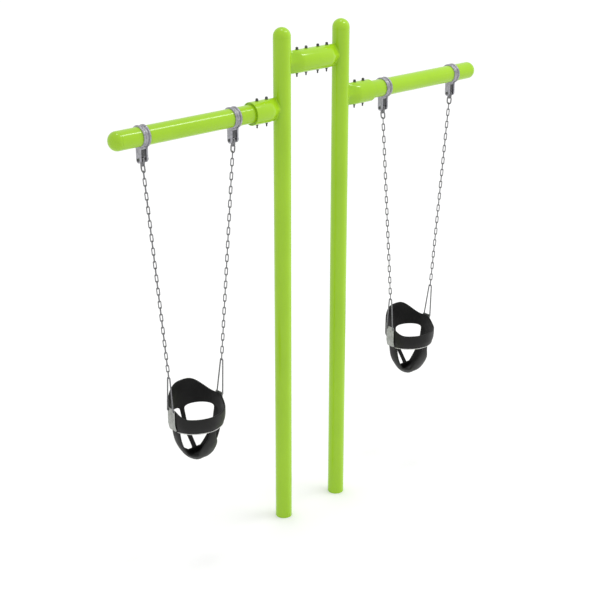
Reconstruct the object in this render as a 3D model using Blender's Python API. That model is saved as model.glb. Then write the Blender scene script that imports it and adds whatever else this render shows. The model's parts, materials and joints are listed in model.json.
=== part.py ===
"""Two-place cantilever swing set with bucket seats, modelled in metres with +Z up.

Two round posts stand side by side and are tied together by a short cross member. Each post
carries one arm, held in a welded socket by two through-bolts. Two clamp hangers on each arm
carry the chains of one bucket seat. X runs along the arms, and the seats face -Y.
The origin lies on the ground, midway between the posts.
"""

import math

import bmesh
import bpy
from mathutils import Matrix, Vector

MM = 0.001
GAP = 0.3 * MM

# Posts
POST_RADIUS = 44.45 * MM
POST_WALL = 3.2 * MM
POST_X = 0.2016
POST_HEIGHT = 2.645
POST_DOME = 51 * MM

# Arms and their sockets
ARM_Z = 2.300
ARM_RADIUS = 46.0 * MM
ARM_WALL = 3.5 * MM
ARM_START_X = 0.262
ARM_END_X = 1.195
ARM_DOME = 45 * MM
SOCKET_RADIUS = 58.0 * MM
SOCKET_BORE = ARM_RADIUS + 0.6 * MM
SOCKET_END_X = 0.410

# Cross member between the posts
CROSS_Z = 2.517
CROSS_SEAM = 1.0 * MM
CROSS_TUBE_HALF_LENGTH = 0.135

# Through-bolts
BOLT_RADIUS = 4.75 * MM
BOLT_HOLE_RADIUS = 5.4 * MM
HEX_RADIUS = 8.2 * MM
HEX_HEIGHT = 8.5 * MM
WASHER_RADIUS = 10.0 * MM
WASHER_HEIGHT = 2.0 * MM
BOLT_RISE = 20 * MM
BOLT_DROP = 26 * MM
ARM_BOLTS_X = (0.305, 0.367)
CROSS_BOLTS_X = (0.040, 0.102)

# Hangers
SEAT_X = 0.793
HANGER_HALF_SPAN = 0.2705
CLAMP_WIDTH = 47 * MM
CLAMP_THICKNESS = 5.5 * MM
CHEEK_SPACING = 27 * MM
CHEEK_WIDTH = 33 * MM
PIVOT_DROP = 108 * MM
PIVOT_Z = ARM_Z - PIVOT_DROP
PIVOT_BOLT_RADIUS = 5.5 * MM
SWIVEL_THICKNESS = 13 * MM
SWIVEL_RADIUS = 12.5 * MM
SWIVEL_DROP = 21 * MM
SWIVEL_EYE_RADIUS = 6.6 * MM

# Chains, each reaching from its hanger to the top of a seat rod
CHAIN_RADIUS = 6.5 * MM
APEX_HALF_SPAN = 0.169
APEX_Z = 1.071
TOP_LINK_WIRE = 3.6 * MM
TOP_LINK_HALF_WIDTH = 13.5 * MM
TOP_LINK_HALF_LENGTH = 20.5 * MM

# Seat rods and side plates
ROD_RADIUS = 3.6 * MM
ROD_FOOT_Z = 0.880
PLATE_WIDTH = 55 * MM
PLATE_THICKNESS = 3.0 * MM
PLATE_Y = 9 * MM
PLATE_TOP_Z = 0.893
PLATE_KNEE_Z = 0.800
PLATE_BOTTOM_Z = 0.770
PLATE_INWARD = 4.5 * MM

# Bucket seat
BELT_BOTTOM_Z = 0.767
BELT_HEIGHT = 80 * MM
SIDE_HEIGHT = 120 * MM
BACK_HEIGHT = 0.204
REAR_OPENING_TOP = 58 * MM
SEAT_HALF_WIDTH = 0.153
SEAT_HALF_DEPTH = 0.133
SEAT_CENTRE_Y = -3 * MM
SEAT_SQUARENESS = 2.1
BELT_TAPER_HEIGHT = 31 * MM
BELT_TAPER = 0.96
CUP_DEPTH = 0.208
CUP_POWER = 1.7
REAR_CURVE = 0.43
REAR_CURVE_END = 0.35
OPENING_BOTTOM_DEPTH = 0.145
SIDE_STRAP_FRONT = 36 * MM
SIDE_STRAP_REAR = 34 * MM
SIDE_STRAP_FLARE = 20 * MM
CROTCH_STRAP_HALF_WIDTH = 13 * MM
BACK_STRAP_HALF_WIDTH = 11 * MM
RUBBER_THICKNESS = 9 * MM
OPENING_COLUMNS = 4
OPENING_ROWS = 3


def clear_scene():
    for obj in list(bpy.data.objects):
        bpy.data.objects.remove(obj, do_unlink=True)


def make_material(name, colour, roughness, metallic):
    material = bpy.data.materials.new(name)
    material.use_nodes = True
    shader = material.node_tree.nodes["Principled BSDF"]
    shader.inputs["Base Color"].default_value = (*colour, 1.0)
    shader.inputs["Roughness"].default_value = roughness
    shader.inputs["Metallic"].default_value = metallic
    return material


def make_materials():
    return {
        "powder_coat": make_material("powder_coat", (0.37, 0.66, 0.05), 0.25, 0.0),
        "zinc": make_material("zinc", (0.55, 0.55, 0.57), 0.40, 0.9),
        "bolt_steel": make_material("bolt_steel", (0.20, 0.20, 0.21), 0.45, 0.8),
        "rubber": make_material("rubber", (0.02, 0.02, 0.02), 0.50, 0.0),
    }


def finish_object(obj, material, angle=35):
    obj.data.materials.append(material)
    obj.data.shade_smooth()
    obj.data.set_sharp_from_angle(angle=math.radians(angle))
    return obj


def object_from_bmesh(name, bm, parent=None):
    bmesh.ops.recalc_face_normals(bm, faces=bm.faces)
    mesh = bpy.data.meshes.new(name)
    bm.to_mesh(mesh)
    bm.free()
    obj = bpy.data.objects.new(name, mesh)
    bpy.context.scene.collection.objects.link(obj)
    obj.parent = parent
    return obj


def add_empty(name, location, parent=None):
    empty = bpy.data.objects.new(name, None)
    empty.location = location
    empty.parent = parent
    bpy.context.scene.collection.objects.link(empty)
    return empty


def axis_rotation(axis):
    """Rotation that turns +Z onto the named axis."""
    turns = {
        "X": Matrix.Rotation(math.radians(90), 4, "Y"),
        "Y": Matrix.Rotation(math.radians(-90), 4, "X"),
        "Z": Matrix.Identity(4),
    }
    return turns[axis]


def turned_bmesh(profile, segments, closed=False, turn=0.0):
    """Solid of revolution about Z. An open profile starts and ends on the axis.

    The facets are turned by a share of one facet, so that holes can fall on flats.
    """
    bm = bmesh.new()
    rings = []
    for radius, height in profile:
        if radius < 1e-9:
            rings.append([bm.verts.new((0, 0, height))])
            continue
        ring = []
        for i in range(segments):
            angle = 2 * math.pi * (i + turn) / segments
            ring.append(bm.verts.new((radius * math.cos(angle), radius * math.sin(angle), height)))
        rings.append(ring)
    pairs = list(zip(rings, rings[1:]))
    if closed:
        pairs.append((rings[-1], rings[0]))
    for low, high in pairs:
        for i in range(segments):
            j = (i + 1) % segments
            corners = [low[i % len(low)], low[j % len(low)], high[j % len(high)], high[i % len(high)]]
            unique = list(dict.fromkeys(corners))
            if len(unique) > 2:
                bm.faces.new(unique)
    return bm


def tube_profile(outer, inner, start, end):
    return [(outer, start), (outer, end), (inner, end), (inner, start)]


def dome_profile(radius, wall, skirt, height, steps):
    """Closed profile of a thin domed cap whose rim lies at height 0."""
    outer = []
    inner = []
    for i in range(steps + 1):
        angle = math.pi / 2 * i / steps
        outer.append((radius * math.cos(angle), skirt + (height - skirt) * math.sin(angle)))
        inner.append(((radius - wall) * math.cos(angle), skirt + (height - skirt - wall) * math.sin(angle)))
    outer[-1] = (0.0, height)
    inner[-1] = (0.0, height - wall)
    return [(radius - wall, 0.0), (radius, 0.0)] + outer, inner


def dome_bmesh(radius, wall, skirt, height, segments, steps):
    """Hollow domed cap, open below."""
    outer, inner = dome_profile(radius, wall, skirt, height, steps)
    bm = turned_bmesh(outer, segments)
    inside = turned_bmesh([(radius - wall, 0.0)] + inner, segments)
    mesh = bpy.data.meshes.new("dome_inside")
    inside.to_mesh(mesh)
    inside.free()
    bm.from_mesh(mesh)
    bpy.data.meshes.remove(mesh)
    bmesh.ops.remove_doubles(bm, verts=bm.verts, dist=1e-6)
    return bm


def cylinder_bmesh(radius, start, end, segments):
    return turned_bmesh([(0, start), (radius, start), (radius, end), (0, end)], segments)


def add_cutter(name, bm, matrix):
    bmesh.ops.transform(bm, matrix=matrix, verts=bm.verts)
    cutter = object_from_bmesh(name, bm)
    cutter.hide_render = True
    cutter.display_type = "WIRE"
    return cutter


def cut(obj, cutter):
    modifier = obj.modifiers.new(cutter.name, "BOOLEAN")
    modifier.operation = "DIFFERENCE"
    modifier.solver = "EXACT"
    modifier.object = cutter
    return modifier


def bolt_hole_cutter(name, x, z):
    bm = cylinder_bmesh(BOLT_HOLE_RADIUS, z - 0.08, z + 0.08, 12)
    return add_cutter(name, bm, Matrix.Translation((x, 0, 0)))


def side_name(side):
    return "left" if side < 0 else "right"


def make_posts(material):
    for side in (-1, 1):
        profile = tube_profile(POST_RADIUS, POST_RADIUS - POST_WALL, 0, POST_HEIGHT)
        post = object_from_bmesh(f"post_{side_name(side)}", turned_bmesh(profile, 40, closed=True))
        post.location = (side * POST_X, 0, 0)
        finish_object(post, material)
        bm = dome_bmesh(POST_RADIUS, 3 * MM, 6 * MM, POST_DOME, 40, 5)
        cap = object_from_bmesh(f"post_cap_{side_name(side)}", bm)
        cap.location = (side * POST_X, 0, POST_HEIGHT + GAP)
        finish_object(cap, material)


def post_clearance(side):
    bm = cylinder_bmesh(POST_RADIUS + GAP, CROSS_Z - 0.4, CROSS_Z + 0.1, 40)
    return add_cutter(f"post_clearance_{side_name(side)}", bm, Matrix.Translation((side * POST_X, 0, 0)))


def make_socket(name, start, end, z, clearance, bolts_x, material):
    profile = tube_profile(SOCKET_RADIUS, SOCKET_BORE, start, end)
    socket = object_from_bmesh(name, turned_bmesh(profile, 40, closed=True, turn=0.5))
    socket.data.transform(axis_rotation("X"))
    socket.data.update()
    socket.location = (0, 0, z)
    finish_object(socket, material)
    cut(socket, clearance)
    for number, x in enumerate(bolts_x):
        cut(socket, bolt_hole_cutter(f"{name}_hole_{number}", x, z))
    return socket


def make_crossed_tube(name, start, end, z, bolts_x, material):
    profile = tube_profile(ARM_RADIUS, ARM_RADIUS - ARM_WALL, start, end)
    tube = object_from_bmesh(name, turned_bmesh(profile, 40, closed=True, turn=0.5))
    tube.data.transform(axis_rotation("X"))
    tube.location = (0, 0, z)
    finish_object(tube, material)
    for number, x in enumerate(bolts_x):
        cut(tube, bolt_hole_cutter(f"{name}_hole_{number}", x, z))
    return tube


def make_frame_tubes(material):
    for side in (-1, 1):
        clearance = post_clearance(side)
        word = side_name(side)
        arm_bolts = [side * x for x in ARM_BOLTS_X]
        cross_bolts = [side * x for x in CROSS_BOLTS_X]
        reach = sorted((side * POST_X, side * SOCKET_END_X))
        make_socket(f"arm_socket_{word}", *reach, ARM_Z, clearance, arm_bolts, material)
        reach = sorted((side * CROSS_SEAM, side * POST_X))
        make_socket(f"cross_socket_{word}", *reach, CROSS_Z, clearance, cross_bolts, material)
        reach = sorted((side * ARM_START_X, side * ARM_END_X))
        make_crossed_tube(f"arm_{word}", *reach, ARM_Z, arm_bolts, material)
        bm = dome_bmesh(ARM_RADIUS, 3 * MM, 4 * MM, ARM_DOME, 40, 5)
        cap = object_from_bmesh(f"arm_cap_{word}", bm)
        cap.location = (side * (ARM_END_X + GAP), 0, ARM_Z)
        cap.rotation_euler = (0, side * math.radians(90), 0)
        finish_object(cap, material)
    bolts = [side * x for side in (-1, 1) for x in CROSS_BOLTS_X]
    make_crossed_tube(
        "cross_tube", -CROSS_TUBE_HALF_LENGTH, CROSS_TUBE_HALF_LENGTH, CROSS_Z, bolts, material
    )


def hex_head_bmesh(shank_start, head_start):
    """Shank with a washer face, a hexagon and a short stud end, pointing up."""
    bm = turned_bmesh(
        [
            (0, shank_start),
            (BOLT_RADIUS, shank_start),
            (BOLT_RADIUS, head_start),
            (WASHER_RADIUS, head_start),
            (WASHER_RADIUS, head_start + WASHER_HEIGHT),
            (HEX_RADIUS, head_start + WASHER_HEIGHT),
            (HEX_RADIUS, head_start + WASHER_HEIGHT + HEX_HEIGHT),
            (BOLT_RADIUS, head_start + WASHER_HEIGHT + HEX_HEIGHT),
            (BOLT_RADIUS, head_start + BOLT_RISE - 1 * MM),
            (BOLT_RADIUS - 1 * MM, head_start + BOLT_RISE),
            (0, head_start + BOLT_RISE),
        ],
        12,
    )
    flatten_hexagon(bm, head_start + WASHER_HEIGHT - 1e-6)
    return bm


def flatten_hexagon(bm, lowest):
    """Pulls every second point of the hexagon's rings onto its flats."""
    for vert in bm.verts:
        radius = math.hypot(vert.co.x, vert.co.y)
        if vert.co.z < lowest or abs(radius - HEX_RADIUS) > 1e-6:
            continue
        number = round(math.degrees(math.atan2(vert.co.y, vert.co.x)) / 30)
        if number % 2:
            vert.co.xy *= math.cos(math.pi / 6)


def nut_bmesh(bore):
    bm = turned_bmesh(
        [
            (bore, 0),
            (WASHER_RADIUS, 0),
            (WASHER_RADIUS, WASHER_HEIGHT),
            (HEX_RADIUS, WASHER_HEIGHT),
            (HEX_RADIUS, WASHER_HEIGHT + HEX_HEIGHT),
            (bore, WASHER_HEIGHT + HEX_HEIGHT),
        ],
        12,
        closed=True,
    )
    flatten_hexagon(bm, WASHER_HEIGHT - 1e-6)
    return bm


def make_through_bolt(name, x, z, material):
    half = SOCKET_RADIUS + GAP
    bm = hex_head_bmesh(-(SOCKET_RADIUS + BOLT_DROP), half)
    bolt = object_from_bmesh(f"{name}_bolt", bm)
    bolt.location = (x, 0, z)
    finish_object(bolt, material)
    nut = object_from_bmesh(f"{name}_nut", nut_bmesh(BOLT_RADIUS + GAP))
    nut.location = (x, 0, z - half)
    nut.rotation_euler = (math.pi, 0, 0)
    finish_object(nut, material)


def make_through_bolts(material):
    for side in (-1, 1):
        for number, x in enumerate(ARM_BOLTS_X, start=1):
            make_through_bolt(f"arm_{side_name(side)}_{number}", side * x, ARM_Z, material)
        for number, x in enumerate(CROSS_BOLTS_X, start=1):
            make_through_bolt(f"cross_{side_name(side)}_{number}", side * x, CROSS_Z, material)


def clamp_outline():
    """Outline of the clamp band's outside in Y and Z, about the arm's axis."""
    radius = ARM_RADIUS + CLAMP_THICKNESS + 0.4 * MM
    points = []
    for i in range(25):
        angle = math.radians(-60 + 300 * i / 24)
        points.append((radius * math.cos(angle), radius * math.sin(angle)))
    half = CHEEK_WIDTH / 2
    points.append((-half, -radius - 6 * MM))
    for i in range(9):
        angle = math.pi + math.pi * i / 8
        points.append((half * math.cos(angle), -PIVOT_DROP + half * math.sin(angle)))
    points.append((half, -radius - 6 * MM))
    return points


def extruded_bmesh(points, half_width):
    """Prism of a YZ outline, centred on X = 0."""
    bm = bmesh.new()
    verts = [bm.verts.new((-half_width, y, z)) for y, z in points]
    face = bm.faces.new(verts)
    result = bmesh.ops.extrude_face_region(bm, geom=[face])
    moved = [item for item in result["geom"] if isinstance(item, bmesh.types.BMVert)]
    bmesh.ops.translate(bm, verts=moved, vec=(2 * half_width, 0, 0))
    return bm


def box_bmesh(size, centre):
    bm = bmesh.new()
    bmesh.ops.create_cube(bm, size=1.0)
    bmesh.ops.scale(bm, vec=size, verts=bm.verts)
    bmesh.ops.translate(bm, vec=centre, verts=bm.verts)
    return bm


def hanger_cutters():
    """The arm's bore, the slot between the cheeks and the pivot hole, shared by all clamps."""
    bore = cylinder_bmesh(ARM_RADIUS + 0.4 * MM, -CLAMP_WIDTH, CLAMP_WIDTH, 40)
    slot_top = -(ARM_RADIUS + CLAMP_THICKNESS + 9 * MM)
    slot_bottom = -(PIVOT_DROP + CHEEK_WIDTH)
    size = (CHEEK_SPACING, 3 * CHEEK_WIDTH, slot_top - slot_bottom)
    slot = box_bmesh(size, (0, 0, (slot_top + slot_bottom) / 2))
    hole = cylinder_bmesh(PIVOT_BOLT_RADIUS + GAP, -CLAMP_WIDTH, CLAMP_WIDTH, 16)
    pivot = Matrix.Translation((0, 0, -PIVOT_DROP)) @ axis_rotation("X")
    return (
        add_cutter("arm_bore", bore, axis_rotation("X")),
        add_cutter("cheek_slot", slot, Matrix.Identity(4)),
        add_cutter("pivot_hole", hole, pivot),
    )


def make_clamp_mesh():
    """Clamp band with its two cheeks, about the arm's axis, with the cuts applied."""
    clamp = object_from_bmesh("clamp", extruded_bmesh(clamp_outline(), CLAMP_WIDTH / 2))
    for cutter in hanger_cutters():
        cut(clamp, cutter)
    bpy.context.view_layer.update()
    evaluated = clamp.evaluated_get(bpy.context.evaluated_depsgraph_get())
    mesh = bpy.data.meshes.new_from_object(evaluated)
    bpy.data.objects.remove(clamp, do_unlink=True)
    return mesh


def pivot_bolt_bmesh():
    half = CLAMP_WIDTH / 2 + GAP
    return turned_bmesh(
        [
            (0, -half - 6 * MM),
            (8 * MM, -half - 6 * MM),
            (9 * MM, -half - 5 * MM),
            (9 * MM, -half),
            (PIVOT_BOLT_RADIUS, -half),
            (PIVOT_BOLT_RADIUS, half),
            (9 * MM, half),
            (9 * MM, half + 7 * MM),
            (PIVOT_BOLT_RADIUS - 1 * MM, half + 7 * MM),
            (PIVOT_BOLT_RADIUS - 1 * MM, half + 10 * MM),
            (0, half + 10 * MM),
        ],
        16,
    )


def stadium(half_width, half_length, steps):
    """Centre line of a link: two half circles joined by straight sides, in (u, v)."""
    straight = half_length - half_width
    points = []
    for i in range(steps + 1):
        angle = math.pi * i / steps
        points.append((half_width * math.cos(angle), straight + half_width * math.sin(angle)))
    for i in range(steps + 1):
        angle = math.pi + math.pi * i / steps
        points.append((half_width * math.cos(angle), -straight + half_width * math.sin(angle)))
    return points


def loop_tube_bmesh(points, radius, segments):
    """Round wire along a closed path."""
    bm = bmesh.new()
    count = len(points)
    normal = (points[1] - points[0]).cross(points[2] - points[1]).normalized()
    rings = []
    for i, point in enumerate(points):
        tangent = (points[(i + 1) % count] - points[i - 1]).normalized()
        side = tangent.cross(normal)
        ring = []
        for k in range(segments):
            angle = 2 * math.pi * k / segments
            offset = side * math.cos(angle) + normal * math.sin(angle)
            ring.append(bm.verts.new(point + offset * radius))
        rings.append(ring)
    for i in range(count):
        following = rings[(i + 1) % count]
        for k in range(segments):
            m = (k + 1) % segments
            bm.faces.new((rings[i][k], rings[i][m], following[m], following[k]))
    return bm


def swivel_bmesh():
    """Rounded block that turns on the pivot bolt and holds the top link in its lower eye."""
    points = []
    for i in range(9):
        angle = math.pi * i / 8
        points.append((SWIVEL_RADIUS * math.cos(angle), SWIVEL_RADIUS * math.sin(angle)))
    for i in range(9):
        angle = math.pi + math.pi * i / 8
        points.append((SWIVEL_RADIUS * math.cos(angle), -SWIVEL_DROP + SWIVEL_RADIUS * math.sin(angle)))
    return extruded_bmesh(points, SWIVEL_THICKNESS / 2)


def make_swivel_mesh():
    swivel = object_from_bmesh("swivel", swivel_bmesh())
    upper = cylinder_bmesh(PIVOT_BOLT_RADIUS + GAP, -CLAMP_WIDTH, CLAMP_WIDTH, 16)
    lower = cylinder_bmesh(SWIVEL_EYE_RADIUS, -CLAMP_WIDTH, CLAMP_WIDTH, 16)
    lower_place = Matrix.Translation((0, 0, -SWIVEL_DROP)) @ axis_rotation("X")
    cut(swivel, add_cutter("swivel_pivot_hole", upper, axis_rotation("X")))
    cut(swivel, add_cutter("swivel_link_hole", lower, lower_place))
    bpy.context.view_layer.update()
    evaluated = swivel.evaluated_get(bpy.context.evaluated_depsgraph_get())
    mesh = bpy.data.meshes.new_from_object(evaluated)
    bpy.data.objects.remove(swivel, do_unlink=True)
    return mesh


def top_link_bmesh():
    """Oval link in the XZ plane whose upper bow passes through the swivel's eye."""
    top = -SWIVEL_DROP
    centre = top - TOP_LINK_HALF_LENGTH
    points = []
    for u, v in stadium(TOP_LINK_HALF_WIDTH, TOP_LINK_HALF_LENGTH, 6):
        points.append(Vector((u, 0, centre + v)))
    return loop_tube_bmesh(points, TOP_LINK_WIRE, 8)


def shared_object(name, mesh, location, parent=None):
    obj = bpy.data.objects.new(name, mesh)
    obj.location = location
    obj.parent = parent
    bpy.context.scene.collection.objects.link(obj)
    return obj


def local_position(world, parent):
    return Vector(world) - parent.location


def seat_places():
    """Each seat side with the positions of its two chains: the outer one first."""
    for side in (-1, 1):
        for word, offset in (("outer", side), ("inner", -side)):
            yield side, word, offset


def make_hangers(materials, swings):
    clamp_mesh = make_clamp_mesh()
    swivel_mesh = make_swivel_mesh()
    bolt = pivot_bolt_bmesh()
    bmesh.ops.transform(bolt, matrix=axis_rotation("X"), verts=bolt.verts)
    bolt_mesh = bpy.data.meshes.new("pivot_bolt")
    bmesh.ops.recalc_face_normals(bolt, faces=bolt.faces)
    bolt.to_mesh(bolt_mesh)
    bolt.free()
    for side, word, offset in seat_places():
        x = side * SEAT_X + offset * HANGER_HALF_SPAN
        label = f"{side_name(side)}_{word}"
        clamp = shared_object(f"clamp_{label}", clamp_mesh, (x, 0, ARM_Z))
        pivot = shared_object(f"pivot_bolt_{label}", bolt_mesh, (x, 0, PIVOT_Z))
        swing = swings[side]
        at_pivot = local_position((x, 0, PIVOT_Z), swing)
        swivel = shared_object(f"swivel_{label}", swivel_mesh, at_pivot, swing)
        link = object_from_bmesh(f"top_link_{label}", top_link_bmesh(), swing)
        link.location = at_pivot
        finish_object(link, materials["zinc"])
        for obj in (clamp, pivot, swivel):
            if not obj.data.materials:
                finish_object(obj, materials["zinc"])


def rod_between(name, start, end, radius, segments, parent):
    """Straight round bar between two world points."""
    direction = end - start
    bm = cylinder_bmesh(radius, 0, direction.length, segments)
    turn = direction.to_track_quat("Z", "Y").to_matrix().to_4x4()
    bmesh.ops.transform(bm, matrix=turn, verts=bm.verts)
    bar = object_from_bmesh(name, bm, parent)
    bar.location = local_position(start, parent)
    return bar


def chain_line(side, offset):
    """Upper and lower ends of one chain's line, from the swivel's eye to the seat rod's bend."""
    top = Vector((side * SEAT_X + offset * HANGER_HALF_SPAN, 0, PIVOT_Z - SWIVEL_DROP))
    bottom = Vector((side * SEAT_X + offset * APEX_HALF_SPAN, 0, APEX_Z))
    return top, bottom


def make_chains(materials, swings):
    for side, word, offset in seat_places():
        top, bottom = chain_line(side, offset)
        direction = (bottom - top).normalized()
        start = top + direction * (2 * TOP_LINK_HALF_LENGTH + TOP_LINK_WIRE + 2 * MM)
        end = bottom - direction * (ROD_RADIUS + 5 * MM)
        name = f"chain_{side_name(side)}_{word}"
        chain = rod_between(name, start, end, CHAIN_RADIUS, 10, swings[side])
        finish_object(chain, materials["zinc"])


def rod_path(offset):
    """Centre line of a seat rod about its apex: foot, rounded bend, foot."""
    half = PLATE_WIDTH / 2 - 4 * MM
    drop = ROD_FOOT_Z - APEX_Z
    foot_x = SEAT_HALF_WIDTH + PLATE_THICKNESS + 2 * GAP + ROD_RADIUS
    lean = offset * (foot_x - APEX_HALF_SPAN)
    bend = 9 * MM
    foot_front = Vector((lean, PLATE_Y - half, drop))
    foot_rear = Vector((lean, PLATE_Y + half, drop))
    points = [foot_front]
    for i in range(7):
        angle = math.pi * (1 - i / 6)
        points.append(Vector((0, bend * math.cos(angle), bend * math.sin(angle) - bend)))
    points.append(foot_rear)
    return points


def open_tube_bmesh(points, radius, segments):
    """Round bar along an open path that lies in one plane."""
    bm = bmesh.new()
    normal = (points[1] - points[0]).cross(points[-1] - points[0]).normalized()
    rings = []
    last = len(points) - 1
    for i, point in enumerate(points):
        tangent = (points[min(i + 1, last)] - points[max(i - 1, 0)]).normalized()
        side = tangent.cross(normal)
        ring = []
        for k in range(segments):
            angle = 2 * math.pi * k / segments
            ring.append(bm.verts.new(point + (side * math.cos(angle) + normal * math.sin(angle)) * radius))
        rings.append(ring)
    for low, high in zip(rings, rings[1:]):
        for k in range(segments):
            m = (k + 1) % segments
            bm.faces.new((low[k], low[m], high[m], high[k]))
    bm.faces.new(rings[0])
    bm.faces.new(rings[-1])
    return bm


def plate_outline():
    """Side plate in X and Z, seen along Y: upright above the knee, bent inwards below it."""
    outside = SEAT_HALF_WIDTH + GAP + PLATE_THICKNESS
    inside = SEAT_HALF_WIDTH + GAP
    return [
        (inside, PLATE_TOP_Z),
        (outside, PLATE_TOP_Z),
        (outside, PLATE_KNEE_Z),
        (outside - PLATE_INWARD, PLATE_BOTTOM_Z),
        (inside - PLATE_INWARD, PLATE_BOTTOM_Z),
        (inside, PLATE_KNEE_Z),
    ]


def make_side_plate(label, offset, seat, material):
    bm = bmesh.new()
    verts = []
    for x, z in plate_outline():
        verts.append(bm.verts.new((offset * x, PLATE_Y - PLATE_WIDTH / 2, z - APEX_Z)))
    face = bm.faces.new(verts)
    result = bmesh.ops.extrude_face_region(bm, geom=[face])
    moved = [item for item in result["geom"] if isinstance(item, bmesh.types.BMVert)]
    bmesh.ops.translate(bm, verts=moved, vec=(0, PLATE_WIDTH, 0))
    plate = object_from_bmesh(f"side_plate_{label}", bm, seat)
    finish_object(plate, material)
    return plate


def make_seat_rod(label, offset, seat, material):
    rod = object_from_bmesh(f"seat_rod_{label}", open_tube_bmesh(rod_path(offset), ROD_RADIUS, 8), seat)
    rod.location = (offset * APEX_HALF_SPAN, 0, 0)
    finish_object(rod, material)
    return rod


def smooth_step(value):
    value = min(max(value, 0.0), 1.0)
    return value * value * (3 - 2 * value)


def rim_height(angle):
    """Height of the seat's upper edge above the belt's lower edge, at an angle from +X."""
    degrees = math.degrees(angle)
    if degrees < 0:
        return BELT_HEIGHT + (SIDE_HEIGHT - BELT_HEIGHT) * smooth_step((degrees + 16) / 16)
    return SIDE_HEIGHT + (BACK_HEIGHT - SIDE_HEIGHT) * smooth_step((degrees - 14) / 66)


def opening_top(angle):
    """Height of the upper edge of the leg holes, in front, and of the rear openings, behind."""
    return REAR_OPENING_TOP * smooth_step((math.degrees(angle) + 12) / 22)


def plan_point(angle, height):
    """Point of the seat's outline at a height: a slightly squared ellipse with a leaning back."""
    power = 2 / SEAT_SQUARENESS
    scale = cup_scale(height)
    x = math.copysign(abs(math.cos(angle)) ** power, math.cos(angle)) * SEAT_HALF_WIDTH
    y = math.copysign(abs(math.sin(angle)) ** power, math.sin(angle)) * SEAT_HALF_DEPTH
    lean = REAR_CURVE * (BACK_HEIGHT - height) ** 2 * max(math.sin(angle), 0.0) ** 2
    lean *= smooth_step((CUP_DEPTH + height) / (REAR_CURVE_END * CUP_DEPTH))
    return x * scale, y * scale + SEAT_CENTRE_Y - lean


def cup_scale(height):
    """Share of the full plan size at a height above the belt's lower edge."""
    if height >= 0:
        return BELT_TAPER + (1 - BELT_TAPER) * smooth_step(height / BELT_TAPER_HEIGHT)
    depth = min(-height / CUP_DEPTH, 1.0)
    return BELT_TAPER * math.sqrt(1 - depth**CUP_POWER)


def strap_angles(height):
    """Angles of the columns at one level on the +X side, from front centre to back centre."""
    scale = cup_scale(height)
    flare = SIDE_STRAP_FLARE * smooth_step(-height / OPENING_BOTTOM_DEPTH)
    half_width = SEAT_HALF_WIDTH * scale
    half_depth = SEAT_HALF_DEPTH * scale
    crotch = -math.pi / 2 + math.asin(min(CROTCH_STRAP_HALF_WIDTH / half_width, 0.35))
    strap_front = -math.asin(min(SIDE_STRAP_FRONT / half_depth, 0.62))
    strap_rear = math.asin(min((SIDE_STRAP_REAR + flare) / half_depth, 0.72))
    back = math.pi / 2 - math.asin(min(BACK_STRAP_HALF_WIDTH / half_width, 0.33))
    angles = [-math.pi / 2]
    for i in range(OPENING_COLUMNS + 1):
        angles.append(crotch + (strap_front - crotch) * i / OPENING_COLUMNS)
    angles.append((strap_front + strap_rear) / 2)
    for i in range(OPENING_COLUMNS + 1):
        angles.append(strap_rear + (back - strap_rear) * i / OPENING_COLUMNS)
    angles.append(math.pi / 2)
    return angles


def seat_levels(angle):
    """Heights of the cage's points down one column: rim, opening top, opening bottom, base."""
    top = rim_height(angle)
    opening = opening_top(angle)
    levels = [top, opening + (top - opening) * 0.5, opening]
    for i in range(1, OPENING_ROWS + 1):
        levels.append(opening + (-OPENING_BOTTOM_DEPTH - opening) * i / OPENING_ROWS)
    levels.append(-CUP_DEPTH * 0.88)
    levels.append(-CUP_DEPTH * 0.985)
    return levels


def seat_ring(row):
    """One level of the seat's cage, all the way round, starting at front centre."""
    reference = strap_angles(BACK_HEIGHT)
    level = seat_levels(0.0)[row]
    right = []
    for flat, angle in zip(reference, strap_angles(level)):
        height = seat_levels(flat)[row]
        x, y = plan_point(angle, height)
        right.append(Vector((x, y, height)))
    left = [Vector((-point.x, point.y, point.z)) for point in reversed(right[1:-1])]
    return right + left


def in_opening(column, row, columns):
    """Whether a face of the cage lies in a leg hole or a rear opening."""
    half = columns // 2
    if column >= half:
        column = columns - 1 - column
    rows = range(2, 2 + OPENING_ROWS)
    front = range(1, 1 + OPENING_COLUMNS)
    rear = range(3 + OPENING_COLUMNS, 3 + 2 * OPENING_COLUMNS)
    return row in rows and (column in front or column in rear)


def seat_bmesh():
    """Sheet of the seat's outer face, with the leg holes and rear openings left out."""
    bm = bmesh.new()
    rows = len(seat_levels(0.0))
    rings = []
    for row in range(rows):
        rings.append([bm.verts.new(point) for point in seat_ring(row)])
    columns = len(rings[0])
    for row in range(rows - 1):
        for column in range(columns):
            if in_opening(column, row, columns):
                continue
            following = (column + 1) % columns
            upper, lower = rings[row], rings[row + 1]
            bm.faces.new((upper[column], lower[column], lower[following], upper[following]))
    bm.faces.new(rings[-1])
    loose = [vert for vert in bm.verts if not vert.link_faces]
    bmesh.ops.delete(bm, geom=loose, context="VERTS")
    return bm


def make_seat(side, parent, material):
    seat = object_from_bmesh(f"bucket_seat_{side_name(side)}", seat_bmesh(), parent)
    seat.location = (0, 0, BELT_BOTTOM_Z - APEX_Z)
    finish_object(seat, material)
    shell = seat.modifiers.new("wall", "SOLIDIFY")
    shell.thickness = RUBBER_THICKNESS
    shell.offset = -1
    smooth = seat.modifiers.new("rounding", "SUBSURF")
    smooth.levels = 1
    smooth.render_levels = 1
    return seat


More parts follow.
